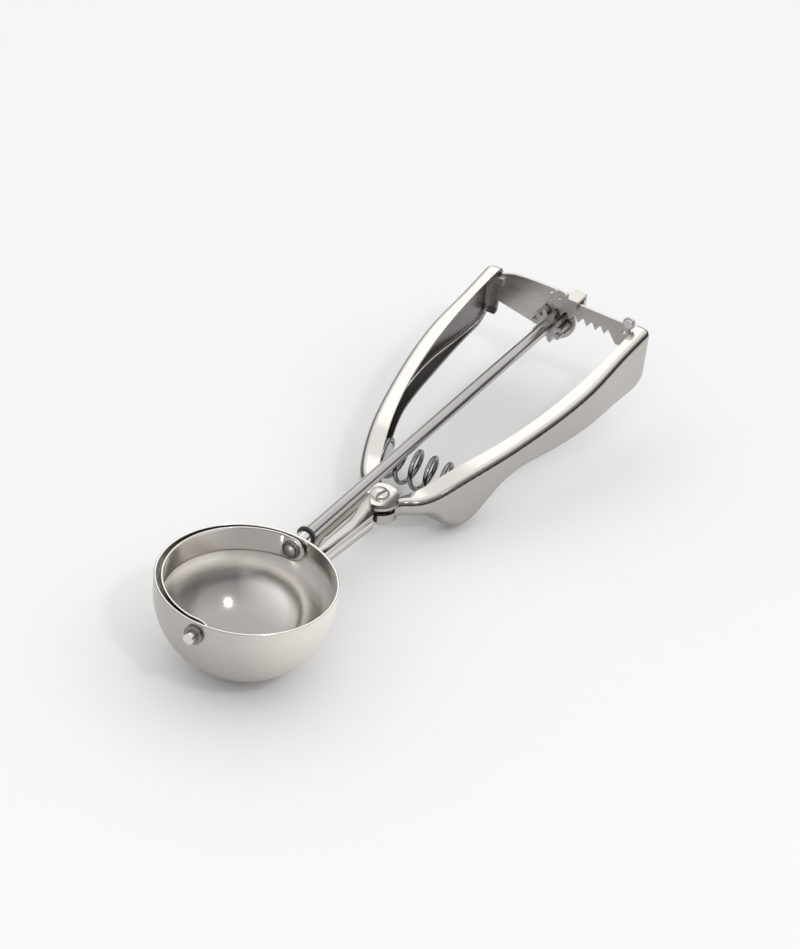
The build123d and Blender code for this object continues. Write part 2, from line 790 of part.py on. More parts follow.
# lug: bent from sheet, its long leg against the right lever's web and its short leg behind the rack
with BuildPart() as rack_lug:
    with BuildSketch(rack_plane.offset(-1.5 * rack_sheet)):
        with Locations((rack_middle + 29.8, 3.4)):
            Rectangle(7.2, 6.4)
        with Locations((rack_middle + 27.6, 4.2)):
            Circle(small_rivet, mode=Mode.SUBTRACT)
    extrude(amount=rack_sheet)
    with BuildSketch(right_level.offset(-0.2)):
        with Locations((bracket_face - 6.6, 26.6)):
            Rectangle(10.8, 5.2)
    extrude(amount=-6.4)
    add(right_cavity.part, mode=Mode.INTERSECT)

# rivet through rack and lug, and the stop rivet in the rack's round lobe
with BuildPart() as rack_rivet:
    with BuildSketch(rack_plane.offset(-1.5 * rack_sheet)):
        with Locations((rack_middle + 27.6, 4.2)):
            Circle(small_rivet)
    extrude(amount=2 * rack_sheet)
    with BuildSketch(rack_plane.offset(rack_sheet / 2)):
        with Locations((rack_middle + 27.6, 4.2)):
            Circle(2 * small_rivet)
    extrude(amount=0.6, taper=20)

with BuildPart() as stop_rivet:
    with BuildSketch(rack_plane.offset(-rack_sheet / 2)):
        with Locations((rack_middle + 26.7, rack_top + 0.6)):
            Circle(small_rivet)
    extrude(amount=rack_sheet)
    with BuildSketch(rack_plane.offset(rack_sheet / 2)):
        with Locations((rack_middle + 26.7, rack_top + 0.6)):
            Circle(2.0 * small_rivet)
    extrude(amount=0.6, taper=20)

# gear bracket: a plate across the left lever's end that carries the rod's rear bearing
with BuildPart() as gear_bracket:
    with BuildSketch(level.offset(4.4)):
        with BuildLine():
            Polyline(
                (bracket_face, 19.6),
                (bracket_face, 28.0),
                (bracket_face - 5.5, 28.0),
                (bracket_face - 5.5, 24.6),
                (bracket_face - 1.2, 24.4),
                (bracket_face - 1.0, 19.6),
                close=True,
            )
        make_face()
    extrude(amount=2.5)
    add(left_cavity.part, mode=Mode.INTERSECT)
    with BuildSketch(cross.offset(bracket_face)):
        with BuildLine():
            Polyline(
                (21.3, 7.4),
                (19.6, 8.6),
                (16.6, 9.6),
                (13.0, 10.1),
                (8.4, 10.3),
                (-8.8, 10.3),
                (-8.8, 5.4),
                (-5.0, 4.0),
                (0, -2.0),
                (8.1, -4.5),
                (21.3, -1.8),
                close=True,
            )
        make_face()
        Circle(bracket_lobe)
        Circle(journal_radius + running_fit, mode=Mode.SUBTRACT)
        with Locations((-6.7, 7.7)):
            Circle(small_rivet, mode=Mode.SUBTRACT)
    extrude(amount=bracket_sheet)

# rack guide: a folded strap over the rack with a round ear in front
with BuildPart() as rack_guide:
    with BuildSketch(side.offset(4.5)):
        with BuildLine():
            Polyline(
                (guide_face, 8.8),
                (guide_face, rack_top + 0.5 + guide_sheet),
                (bracket_face + bracket_sheet + guide_sheet, rack_top + 0.5 + guide_sheet),
                (bracket_face + bracket_sheet + guide_sheet, 6.0),
                (bracket_face + bracket_sheet, 6.0),
                (bracket_face + bracket_sheet, rack_top + 0.5),
                (guide_face + guide_sheet, rack_top + 0.5),
                (guide_face + guide_sheet, 8.8),
                close=True,
            )
        make_face()
    extrude(amount=4.3)
    with BuildSketch(cross.offset(guide_face)):
        with Locations((-2.6, 10.7)):
            Circle(3.0)
        with Locations((-4.4, 10.3)):
            Rectangle(3.6, 2.8)
        with Locations((-2.6, 11.0)):
            Circle(0.5, mode=Mode.SUBTRACT)
    extrude(amount=guide_sheet)
    with BuildSketch(cross.offset(bracket_face + bracket_sheet)):
        with Locations((-6.7, 7.7)):
            Circle(small_rivet)
    extrude(amount=guide_sheet, mode=Mode.SUBTRACT)

with BuildPart() as guide_rivet:
    with BuildSketch(cross.offset(bracket_face)):
        with Locations((-6.7, 7.7)):
            Circle(small_rivet)
    extrude(amount=bracket_sheet + guide_sheet)
    with BuildSketch(cross.offset(bracket_face + bracket_sheet + guide_sheet)):
        with Locations((-6.7, 7.7)):
            Circle(2 * small_rivet)
    extrude(amount=0.6, taper=20)

bowl.part.label = "bowl"
scraper_blade.part.label = "scraper_blade"
front_pin.part.label = "front_pin"
front_bearing.part.label = "front_bearing"
rear_bearing.part.label = "rear_bearing"
blade_washer.part.label = "blade_washer"
drive_rod.part.label = "drive_rod"
rod_clip.part.label = "rod_clip"
stem_upper.part.label = "stem_upper"
stem_lower.part.label = "stem_lower"
left_lever.part.label = "left_lever"
right_lever.part.label = "right_lever"
pivot_rivet.part.label = "pivot_rivet"
pivot_washer.part.label = "pivot_washer"
return_spring.part.label = "return_spring"
spring_seat_left.part.label = "spring_seat_left"
spring_seat_right.part.label = "spring_seat_right"
pinion.part.label = "pinion"
pinion_pin.part.label = "pinion_pin"
rod_end_washer.part.label = "rod_end_washer"
rack_plate.part.label = "rack_plate"
rack_lug.part.label = "rack_lug"
rack_rivet.part.label = "rack_rivet"
stop_rivet.part.label = "stop_rivet"
gear_bracket.part.label = "gear_bracket"
rack_guide.part.label = "rack_guide"
guide_rivet.part.label = "guide_rivet"

export_step(bowl.part, "parts/bowl.step")
export_step(scraper_blade.part, "parts/scraper_blade.step")
export_step(front_pin.part, "parts/front_pin.step")
export_step(front_bearing.part, "parts/front_bearing.step")
export_step(rear_bearing.part, "parts/rear_bearing.step")
export_step(blade_washer.part, "parts/blade_washer.step")
export_step(drive_rod.part, "parts/drive_rod.step")
export_step(rod_clip.part, "parts/rod_clip.step")
export_step(stem_upper.part, "parts/stem_upper.step")
export_step(stem_lower.part, "parts/stem_lower.step")
export_step(left_lever.part, "parts/left_lever.step")
export_step(right_lever.part, "parts/right_lever.step")
export_step(pivot_rivet.part, "parts/pivot_rivet.step")
export_step(pivot_washer.part, "parts/pivot_washer.step")
export_step(return_spring.part, "parts/return_spring.step")
export_step(spring_seat_left.part, "parts/spring_seat_left.step")
export_step(spring_seat_right.part, "parts/spring_seat_right.step")
export_step(pinion.part, "parts/pinion.step")
export_step(pinion_pin.part, "parts/pinion_pin.step")
export_step(rod_end_washer.part, "parts/rod_end_washer.step")
export_step(rack_plate.part, "parts/rack_plate.step")
export_step(rack_lug.part, "parts/rack_lug.step")
export_step(rack_rivet.part, "parts/rack_rivet.step")
export_step(stop_rivet.part, "parts/stop_rivet.step")
export_step(gear_bracket.part, "parts/gear_bracket.step")
export_step(rack_guide.part, "parts/rack_guide.step")
export_step(guide_rivet.part, "parts/guide_rivet.step")
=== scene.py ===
import math

import bmesh
import bpy
import numpy as np
from mathutils import Matrix, Vector
from mathutils.bvhtree import BVHTree


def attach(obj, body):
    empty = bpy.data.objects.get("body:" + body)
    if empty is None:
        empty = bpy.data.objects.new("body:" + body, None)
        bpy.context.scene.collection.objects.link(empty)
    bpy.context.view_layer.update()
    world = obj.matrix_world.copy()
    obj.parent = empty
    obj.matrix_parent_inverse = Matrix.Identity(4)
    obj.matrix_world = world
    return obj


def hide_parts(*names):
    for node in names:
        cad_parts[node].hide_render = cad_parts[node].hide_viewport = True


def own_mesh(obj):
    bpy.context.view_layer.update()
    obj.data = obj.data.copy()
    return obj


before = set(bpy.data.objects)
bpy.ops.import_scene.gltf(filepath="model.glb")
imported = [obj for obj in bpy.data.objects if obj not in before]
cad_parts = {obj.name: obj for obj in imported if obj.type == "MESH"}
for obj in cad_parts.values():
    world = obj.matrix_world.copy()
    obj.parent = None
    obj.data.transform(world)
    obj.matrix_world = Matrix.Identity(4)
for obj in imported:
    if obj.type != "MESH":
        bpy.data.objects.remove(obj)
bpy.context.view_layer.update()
scene = bpy.context.scene
scene.view_settings.view_transform = "Standard"


# Studio. A pale floor, a soft world that is bright overhead and dim at the horizon on the near side,
# two round lamps, and the camera, whose place and own three axes are given in the world.
camera = bpy.data.objects.new("camera", bpy.data.cameras.new("camera"))
scene.collection.objects.link(camera)
camera.data.lens = 126.1
camera.data.sensor_width = 36.0
camera.data.clip_start = 0.01
camera.data.clip_end = 20.0
camera_place = (-0.6389, -0.3643, 0.5835)
camera_right = Vector((0.5102, -0.8538, 0.1034))
camera_up = Vector((0.4506, 0.3678, 0.8134))
camera_back = Vector((-0.7325, -0.3684, 0.5724))
camera_turn = Matrix((camera_right, camera_up, camera_back)).transposed().to_4x4()
camera.matrix_world = Matrix.Translation(camera_place) @ camera_turn
scene.camera = camera

world = bpy.data.worlds.new("studio")
scene.world = world
world.use_nodes = True
sky_nodes = world.node_tree.nodes
sky_links = world.node_tree.links
sky_direction = sky_nodes.new("ShaderNodeTexCoord")
sky_split = sky_nodes.new("ShaderNodeSeparateXYZ")
sky_links.new(sky_direction.outputs["Generated"], sky_split.inputs[0])


def grey_ramp(tree_nodes, stops, warmth=0.0):
    """Colour ramp through (position, level) stops; warmth takes that share away from the blue, and half
    of it from the green."""
    ramp = tree_nodes.new("ShaderNodeValToRGB")
    marks = ramp.color_ramp.elements
    while len(marks) < len(stops):
        marks.new(0.5)
    for mark, (position, level) in zip(marks, stops):
        mark.position = position
        mark.color = (level, level * (1 - warmth / 2), level * (1 - warmth), 1)
    return ramp


def blend(tree_nodes, tree_links, share, first, second):
    """Colour between two others: first + share * (second - first)."""
    mix = tree_nodes.new("ShaderNodeMix")
    mix.data_type = "RGBA"
    tree_links.new(share, mix.inputs[0])
    tree_links.new(first, mix.inputs[6])
    tree_links.new(second, mix.inputs[7])
    return mix.outputs[2]


near_sky = grey_ramp(sky_nodes, [(0, 0.10), (0.16, 0.05), (0.30, 0.30), (0.46, 1.02), (1, 1.02)])
far_sky = grey_ramp(sky_nodes, [(0, 0.45), (0.20, 0.60), (0.46, 1.02), (1, 1.02)])
sky_side = sky_nodes.new("ShaderNodeMapRange")
sky_side.interpolation_type = "SMOOTHSTEP"
sky_side.inputs["From Min"].default_value = 0.15
sky_side.inputs["From Max"].default_value = 0.60
sky_links.new(sky_split.outputs["Z"], near_sky.inputs["Fac"])
sky_links.new(sky_split.outputs["Z"], far_sky.inputs["Fac"])
sky_links.new(sky_split.outputs["Y"], sky_side.inputs["Value"])
sky_colour = blend(
    sky_nodes,
    sky_links,
    sky_side.outputs["Result"],
    near_sky.outputs["Color"],
    far_sky.outputs["Color"],
)
sky_links.new(sky_colour, sky_nodes["Background"].inputs["Color"])


def round_lamp(name, place, target, width, power):
    """Round area lamp at a place, facing a target."""
    lamp = bpy.data.lights.new(name, "AREA")
    lamp.shape = "DISK"
    lamp.size = width
    lamp.energy = power
    holder = bpy.data.objects.new(name, lamp)
    scene.collection.objects.link(holder)
    aim = Vector(target) - Vector(place)
    facing = aim.to_track_quat("-Z", "Y").to_matrix().to_4x4()
    holder.matrix_world = Matrix.Translation(place) @ facing


round_lamp("key_lamp", (-0.33, -0.72, 1.03), (0.03, 0, 0.02), 0.13, 1.6)
round_lamp("back_lamp", (0.9, 0.5, 1.0), (0.07, 0, 0.02), 0.6, 0.35)


def new_material(name):
    """Empty node material: (material, its node tree's nodes, its links, its shader)."""
    material = bpy.data.materials.new(name)
    material.use_nodes = True
    tree = material.node_tree
    return material, tree.nodes, tree.links, tree.nodes["Principled BSDF"]


floor_mesh = bpy.data.meshes.new("floor")
floor_mesh.from_pydata([(-4, -4, 0), (4, -4, 0), (4, 4, 0), (-4, 4, 0)], [], [(0, 1, 2, 3)])
floor = bpy.data.objects.new("floor", floor_mesh)
scene.collection.objects.link(floor)
floor_paint, _, _, paint_shader = new_material("floor_paint")
paint_shader.inputs["Base Color"].default_value = (0.93, 0.93, 0.93, 1)
paint_shader.inputs["Roughness"].default_value = 0.95
paint_shader.inputs["Specular IOR Level"].default_value = 0.0
floor_mesh.materials.append(floor_paint)


# Bowl. A deep drawn hemisphere of stainless steel with a short straight rim, spun to a satin finish
# outside and polished inside. The long bearing and the stem hold it from behind.
def soften(profile, radius, closed=False):
    """Profile with each corner rounded: near a corner the line follows the curve
    (1-t)^2 a + 2t(1-t) corner + t^2 b, whose ends a and b lie radius away along both sides, or 0.45 of
    a side that is shorter."""
    corners = np.array(profile, float)
    before = np.roll(corners, 1, axis=0) - corners
    after = np.roll(corners, -1, axis=0) - corners
    reach_before = np.linalg.norm(before, axis=1, keepdims=True)
    reach_after = np.linalg.norm(after, axis=1, keepdims=True)
    start = corners + before / reach_before * np.minimum(radius, 0.45 * reach_before)
    end = corners + after / reach_after * np.minimum(radius, 0.45 * reach_after)
    t = np.linspace(0, 1, 5)[None, :, None]
    bend = (1 - t) ** 2 * start[:, None] + 2 * t * (1 - t) * corners[:, None] + t**2 * end[:, None]
    if closed:
        return bend.reshape(-1, corners.shape[1])
    middle = bend[1:-1].reshape(-1, corners.shape[1])
    return np.vstack([corners[:1], middle, corners[-1:]])


merge_distance = 0.000002


def finish_mesh(piece, sharp=50.0):
    """Merges points that coincide, turns the faces outwards, and shades the piece smooth except across
    edges sharper than the given angle in degrees."""
    shell = bmesh.new()
    shell.from_mesh(piece.data)
    bmesh.ops.remove_doubles(shell, verts=shell.verts, dist=merge_distance)
    bmesh.ops.recalc_face_normals(shell, faces=shell.faces)
    shell.to_mesh(piece.data)
    shell.free()
    piece.data.shade_smooth()
    piece.data.set_sharp_from_angle(angle=math.radians(sharp))
    weight = piece.modifiers.new("weighted_normals", "WEIGHTED_NORMAL")
    weight.keep_sharp = True


def grid_piece(name, points, material, body, around=True, along=False):
    """Piece over a grid of points [row, column] in millimetres. Neighbours are joined by faces, the
    columns close into rings when around is set, and the rows when along is set."""
    rows, columns = points.shape[:2]
    row = np.arange(rows if along else rows - 1)[:, None]
    column = np.arange(columns if around else columns - 1)[None, :]
    next_row = (row + 1) % rows
    next_column = (column + 1) % columns
    corners = [
        row * columns + column,
        row * columns + next_column,
        next_row * columns + next_column,
        next_row * columns + column,
    ]
    faces = np.stack(corners, axis=-1).reshape(-1, 4)
    mesh = bpy.data.meshes.new(name)
    mesh.from_pydata((points.reshape(-1, 3) * 0.001).tolist(), [], faces.tolist())
    mesh.materials.append(material)
    piece = bpy.data.objects.new(name, mesh)
    scene.collection.objects.link(piece)
    finish_mesh(piece)
    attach(piece, body)
    return piece


def turned(profile, centre, axis, count=96):
    """Points of a turned shape: a profile of (distance along the axis, radius), carried round the axis.
    Each point is centre + distance * axis + radius * (cos(angle) * side + sin(angle) * other side)."""
    profile = np.array(profile, float)
    axis = np.array(axis, float) / np.linalg.norm(axis)
    helper = np.array([0.0, 0.0, 1.0]) if abs(axis[2]) < 0.9 else np.array([1.0, 0.0, 0.0])
    side = np.cross(helper, axis)
    side = side / np.linalg.norm(side)
    other = np.cross(axis, side)
    angle = np.linspace(0, 2 * np.pi, count, endpoint=False)
    ring = np.cos(angle)[:, None] * side + np.sin(angle)[:, None] * other
    along = np.array(centre, float) + profile[:, :1] * axis
    return along[:, None, :] + profile[:, 1:, None] * ring[None, :, :]


def grain_nodes(tree_nodes, tree_links, shader, stretch, rough, depth):
    """Brushed steel's grain: a noise stretched along the grain moves the roughness between two values
    and dents the surface slightly. Stretch is the noise's features per metre along each axis, depth
    is in metres; returns the object coordinates."""
    place = tree_nodes.new("ShaderNodeTexCoord")
    mapping = tree_nodes.new("ShaderNodeMapping")
    mapping.inputs["Scale"].default_value = stretch
    noise = tree_nodes.new("ShaderNodeTexNoise")
    noise.inputs["Scale"].default_value = 1.0
    noise.inputs["Detail"].default_value = 4.0
    spread = tree_nodes.new("ShaderNodeMapRange")
    spread.inputs["From Min"].default_value = 0.3
    spread.inputs["From Max"].default_value = 0.7
    spread.inputs["To Min"].default_value = rough[0]
    spread.inputs["To Max"].default_value = rough[1]
    dent = tree_nodes.new("ShaderNodeBump")
    dent.inputs["Strength"].default_value = 0.25
    dent.inputs["Distance"].default_value = depth
    tree_links.new(place.outputs["Object"], mapping.inputs["Vector"])
    tree_links.new(mapping.outputs["Vector"], noise.inputs["Vector"])
    tree_links.new(noise.outputs["Fac"], spread.inputs["Value"])
    tree_links.new(spread.outputs["Result"], shader.inputs["Roughness"])
    tree_links.new(noise.outputs["Fac"], dent.inputs["Height"])
    tree_links.new(dent.outputs["Normal"], shader.inputs["Normal"])
    return place.outputs["Object"]


def share_along(tree_nodes, tree_links, source, direction, reach):
    """Share from 0 to 1 along a direction: the vector's dot product with the direction, brought from
    the reach's two ends to 0 and 1."""
    dot = tree_nodes.new("ShaderNodeVectorMath")
    dot.operation = "DOT_PRODUCT"
    dot.inputs[1].default_value = direction
    spread = tree_nodes.new("ShaderNodeMapRange")
    spread.inputs["From Min"].default_value = reach[0]
    spread.inputs["From Max"].default_value = reach[1]
    tree_links.new(source, dot.inputs[0])
    tree_links.new(dot.outputs["Value"], spread.inputs["Value"])
    return spread.outputs["Result"]


def painted_light_along(tree_nodes, tree_links, shader, source, direction, reach, stops, warmth=0.10):
    """Painted light and shade along a direction: the share along it is looked up in a ramp of grey
    levels for the base colour, lighter or darker by where light falls."""
    share = share_along(tree_nodes, tree_links, source, direction, reach)
    ramp = grey_ramp(tree_nodes, stops, warmth)
    tree_links.new(share, ramp.inputs["Fac"])
    tree_links.new(ramp.outputs["Color"], shader.inputs["Base Color"])


satin, satin_nodes, satin_links, satin_shader = new_material("bowl_satin")
satin_shader.inputs["Metallic"].default_value = 1.0
satin_place = grain_nodes(
    satin_nodes,
    satin_links,
    satin_shader,
    stretch=(60, 60, 4000),
    rough=(0.20, 0.30),
    depth=0.000004,
)
# Painted light and shade: the outside's base colour grows lighter along a fixed direction, from 0.42 to
# 0.95.
painted_light_along(
    satin_nodes,
    satin_links,
    satin_shader,
    satin_place,
    direction=(0.62, -0.72, 0.30),
    reach=(-0.022, 0.030),
    stops=[(0, 0.42), (0.45, 0.54), (0.72, 0.76), (1, 0.95)],
    warmth=0.11,
)

# The inside's base colour is painted light and shade by height: one ramp on the left holds a painted
# dark reflection partway up the wall and grows light at the top, another on the right grows light up
# the wall;
# a band of its wall is less metallic.
polished, polished_nodes, polished_links, polished_shader = new_material("bowl_polish")
polished_warmth = 0.08
polished_place = grain_nodes(
    polished_nodes,
    polished_links,
    polished_shader,
    stretch=(60, 60, 3000),
    rough=(0.10, 0.17),
    depth=0.000002,
)
height_share = share_along(
    polished_nodes, polished_links, polished_place, direction=(0, 0, 1), reach=(0, 0.03)
)
side_share = share_along(
    polished_nodes, polished_links, polished_place, direction=(0.75, -0.66, 0), reach=(0.004, 0.015)
)
left_painted_light = grey_ramp(
    polished_nodes,
    [(0, 0.40), (0.22, 0.42), (0.34, 0.30), (0.44, 0.20), (0.52, 0.34), (0.62, 0.95), (1, 0.95)],
    polished_warmth,
)
right_painted_light = grey_ramp(
    polished_nodes, [(0, 0.40), (0.17, 0.46), (0.30, 0.66), (0.46, 0.92), (1, 0.95)], polished_warmth
)
buffed_band = grey_ramp(
    polished_nodes, [(0, 1.0), (0.48, 1.0), (0.62, 0.35), (0.78, 0.35), (0.86, 1.0), (1, 1.0)]
)
polished_links.new(height_share, buffed_band.inputs["Fac"])
polished_links.new(buffed_band.outputs["Color"], polished_shader.inputs["Metallic"])
polished_links.new(height_share, left_painted_light.inputs["Fac"])
polished_links.new(height_share, right_painted_light.inputs["Fac"])
inside_painted_light = blend(
    polished_nodes,
    polished_links,
    side_share,
    left_painted_light.outputs["Color"],
    right_painted_light.outputs["Color"],
)
polished_links.new(inside_painted_light, polished_shader.inputs["Base Color"])

bowl_radius = 25.8
bowl_wall = 0.8
rim_height = 4.0
rim_top = bowl_radius + rim_height
bore = bowl_radius - bowl_wall
sweep = np.linspace(0, np.pi / 2, 90)
outside = np.stack([bowl_radius - bowl_radius * np.cos(sweep), bowl_radius * np.sin(sweep)], axis=1)
inside = np.stack([bowl_radius - bore * np.cos(sweep), bore * np.sin(sweep)], axis=1)[::-1]
roll = np.linspace(0, np.pi, 9)
lip_radius = bowl_wall / 2
lip = np.stack(
    [
        rim_top - lip_radius + lip_radius * np.sin(roll),
        bowl_radius - lip_radius + lip_radius * np.cos(roll),
    ],
    axis=1,
)
outer_rim = np.stack([np.linspace(bowl_radius, rim_top - lip_radius, 6)[1:-1]], axis=1)
outer_wall = np.hstack([outer_rim, np.full_like(outer_rim, bowl_radius)])
inner_wall = np.hstack([outer_rim[::-1], np.full_like(outer_rim, bore)])
bowl_profile = np.vstack([outside, outer_wall, lip, inner_wall, inside])
bowl = grid_piece(
    "bowl_shell", turned(bowl_profile, (0, 0, 0), (0, 0, 1), count=192), satin, "frame"
)
bowl.data.materials.append(polished)
face_middles = np.zeros(len(bowl.data.polygons) * 3)
bowl.data.polygons.foreach_get("center", face_middles)
face_middles = face_middles.reshape(-1, 3) - np.array([0, 0, bowl_radius * 0.001])
flat_reach = np.linalg.norm(face_middles[:, :2], axis=1)
full_reach = np.where(face_middles[:, 2] > 0, flat_reach, np.linalg.norm(face_middles, axis=1))
between_walls = (bowl_radius - 0.3) * 0.001
inner_faces = (full_reach < between_walls).astype(np.int32)
bowl.data.polygons.foreach_set("material_index", inner_faces)
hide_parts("bowl")


# Scraper blade. A half ring of polished strip that runs just inside the bowl's wall and sweeps it;
# its rounded ends are riveted to the front pin and to the rod.
blade_width = 8.0
blade_sheet = 0.6
ear_face = 24.1
ear_flat = 3.0
blade_back = 23.7
blade_edge = 0.2
blade_tip_gap = 0.002


def circle_through(first, middle, last, count):
    """Points of the arc from first to last through middle, at even angles about its centre, where the
    perpendicular bisectors of the chords meet."""
    ax, ay = first
    bx, by = middle
    cx, cy = last
    d = 2 * (ax * (by - cy) + bx * (cy - ay) + cx * (ay - by))
    sa, sb, sc = ax * ax + ay * ay, bx * bx + by * by, cx * cx + cy * cy
    ux = (sa * (by - cy) + sb * (cy - ay) + sc * (ay - by)) / d
    uy = (sa * (cx - bx) + sb * (ax - cx) + sc * (bx - ax)) / d
    start = math.atan2(ay - uy, ax - ux)
    end = math.atan2(cy - uy, cx - ux)
    start = start + 2 * math.pi if start < end else start
    angle = np.linspace(start, end, count)
    radius = math.hypot(ax - ux, ay - uy)
    return np.stack([ux + radius * np.cos(angle), uy + radius * np.sin(angle)], axis=1)


def capped(points):
    """Rows of a swept shape with both ends closed: the first and last rings are repeated at their own
    middles."""
    first = np.broadcast_to(points[:1].mean(axis=1, keepdims=True), points[:1].shape)
    last = np.broadcast_to(points[-1:].mean(axis=1, keepdims=True), points[-1:].shape)
    return np.concatenate([first, points, last], axis=0)


def brushed_steel(name, stretch, rough, depth, low, high, drift, metallic=1.0):
    """Brushed metal whose base colour drifts between two near tones, low + noise * (high - low). Drift
    is the wide noise's features per metre; stretch, rough and depth are those of the grain."""
    material, tree_nodes, tree_links, shader = new_material(name)
    shader.inputs["Metallic"].default_value = metallic
    place = grain_nodes(tree_nodes, tree_links, shader, stretch, rough, depth)
    noise = tree_nodes.new("ShaderNodeTexNoise")
    noise.inputs["Scale"].default_value = drift
    noise.inputs["Detail"].default_value = 3.0
    mix = tree_nodes.new("ShaderNodeMix")
    mix.data_type = "RGBA"
    mix.inputs[6].default_value = (*low, 1)
    mix.inputs[7].default_value = (*high, 1)
    tree_links.new(place, noise.inputs["Vector"])
    tree_links.new(noise.outputs["Fac"], mix.inputs[0])
    tree_links.new(mix.outputs[2], shader.inputs["Base Color"])
    return material


ear_run = -np.cos(np.linspace(0, np.pi / 2, 14)) * (blade_width / 2 - blade_tip_gap)
ear_line = np.concatenate([ear_run, np.linspace(0, ear_flat, 8)[1:]])
outer_arc = circle_through((-ear_face, ear_flat), (0, blade_back), (ear_face, ear_flat), 90)
inner_face = ear_face - blade_sheet
inner_back = blade_back - blade_sheet
inner_arc = circle_through((-inner_face, ear_flat), (0, inner_back), (inner_face, ear_flat), 90)
outer_path = np.vstack(
    [
        np.stack([np.full_like(ear_line, -ear_face), ear_line], axis=1),
        outer_arc[1:-1],
        np.stack([np.full_like(ear_line, ear_face), ear_line], axis=1)[::-1],
    ]
)
inner_path = np.vstack(
    [
        np.stack([np.full_like(ear_line, -inner_face), ear_line], axis=1),
        inner_arc[1:-1],
        np.stack([np.full_like(ear_line, inner_face), ear_line], axis=1)[::-1],
    ]
)
half_width = np.sqrt(
    np.maximum((blade_width / 2) ** 2 - np.minimum(outer_path[:, 1], 0) ** 2, 0.0)
)
across = soften([(1, -1), (1, 1), (0, 1), (0, -1)], blade_edge, closed=True)
across_depth = across[:, 0]
across_height = across[:, 1]
thick = outer_path[:, None, :] * across_depth[None, :, None] + inner_path[:, None, :] * (
    1 - across_depth[None, :, None]
)
blade_z = bowl_radius + half_width[:, None] * across_height[None, :]
blade_points = np.concatenate([thick, blade_z[:, :, None]], axis=2)
blade_polish = brushed_steel(
    "blade_polish",
    stretch=(300, 300, 2500),
    rough=(0.08, 0.15),
    depth=0.000002,
    low=(0.82, 0.80, 0.775),
    high=(0.92, 0.90, 0.88),
    drift=70.0,
)
blade = grid_piece("scraper_band", capped(blade_points), blade_polish, "rod")
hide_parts("scraper_blade")


# Pin and bearings of the bowl, all of turned steel. The front pin shows as a short stub outside the
# bowl and turns in a flanged bush painted dark for the shade around the pin; the rear bearing is a long
# bush that the rod's front end turns in.
bright = brushed_steel(
    "turned_steel",
    stretch=(2600, 200, 200),
    rough=(0.10, 0.18),
    depth=0.000003,
    low=(0.62, 0.61, 0.59),
    high=(0.74, 0.73, 0.71),
    drift=90.0,
)
# Painted shade: a dark base colour for the bush around the front pin and for the blade's end washer,
# standing in for the shade there.
painted_shade_steel = brushed_steel(
    "painted_shade_steel",
    stretch=(400, 400, 400),
    rough=(0.22, 0.34),
    depth=0.000004,
    low=(0.20, 0.19, 0.18),
    high=(0.30, 0.29, 0.275),
    drift=150.0,
)
axis_centre = (0, 0, bowl_radius)
along_rod = (1, 0, 0)
blade_neck = 1.2
pin_end = -29.0
pin_radius = 1.65
pin_head = 2.4
pin_head_end = -22.9
front_face = -26.7
front_flange = 2.9
front_body = 2.3
front_bore = 1.7
lining_near = 24.4
lining_far = 24.8
lining_flange = 2.7
rear_end = 31.0
rear_body = 2.25
rear_bore = 1.55


def turned_piece(
    name,
    profile,
    body,
    node,
    material,
    centre=axis_centre,
    axis=along_rod,
    ring=False,
    soft=0.12,
):
    """Turned piece from a profile of (distance along the axis, radius) whose corners are softened; a
    ring's profile is closed on itself. It lies on the rod's axis unless another is given."""
    line = soften(profile, soft, closed=ring)
    piece = grid_piece(name, turned(line, centre, axis), material, body, along=ring)
    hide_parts(node)


turned_piece(
    "front_pin_stub",
    [
        (pin_end, 0),
        (pin_end, pin_radius),
        (-ear_face, pin_radius),
        (-ear_face, blade_neck),
        (-inner_face, blade_neck),
        (-inner_face, pin_head),
        (pin_head_end, pin_head),
        (pin_head_end, 0),
    ],
    "rod",
    "front_pin",
    bright,
    soft=0.3,
)
turned_piece(
    "front_bush",
    [
        (front_face, front_bore),
        (front_face, front_flange),
        (-bowl_radius, front_flange),
        (-bowl_radius, front_body),
        (-lining_far, front_body),
        (-lining_far, lining_flange),
        (-lining_near, lining_flange),
        (-lining_near, front_bore),
    ],
    "frame",
    "front_bearing",
    painted_shade_steel,
    ring=True,
)
turned_piece(
    "rear_bush",
    [
        (lining_near, rear_bore),
        (lining_near, lining_flange),
        (lining_far, lining_flange),
        (lining_far, rear_body),
        (rear_end, rear_body),
        (rear_end, rear_bore),
    ],
    "frame",
    "rear_bearing",
    bright,
    ring=True,
)


# Drive rod. Bright drawn bar, turned down at both ends; a dark clip ring sits against its front
# shoulder, and both ends are riveted over washers.
rod_steel = brushed_steel(
    "drawn_rod",
    stretch=(25, 2500, 2500),
    rough=(0.13, 0.24),
    depth=0.000004,
    low=(0.42, 0.405, 0.39),
    high=(0.56, 0.545, 0.53),
    drift=55.0,
)
rod_radius = 2.0
journal_radius = 1.5
rod_front = 22.5
rod_front_head = 1.8
washer_face = 23.0
rod_shoulder = 31.9
gear_shoulder = 174.5
tail_face = 182.0
rod_tail_head = 1.9
rod_back = 182.6
rod_back_radius = 1.68
turned_piece(
    "turned_rod",
    [
        (rod_front, 0),
        (rod_front, rod_front_head),
        (washer_face, rod_front_head),
        (washer_face, blade_neck),
        (ear_face, blade_neck),
        (ear_face, journal_radius),
        (rod_shoulder, journal_radius),
        (rod_shoulder, rod_radius),
        (gear_shoulder, rod_radius),
        (gear_shoulder, journal_radius),
        (tail_face, journal_radius),
        (tail_face, rod_tail_head),
        (rod_back, rod_back_radius),
        (rod_back, 0),
    ],
    "rod",
    "drive_rod",
    rod_steel,
    soft=0.2,
)
blade_washer_radius = 2.8
turned_piece(
    "blade_end_washer",
    [
        (washer_face, blade_neck),
        (washer_face, blade_washer_radius),
        (inner_face, blade_washer_radius),
        (inner_face, blade_neck),
    ],
    "rod",
    "blade_washer",
    painted_shade_steel,
    ring=True,
)
tail_washer_face = 181.5
tail_washer_radius = 2.6
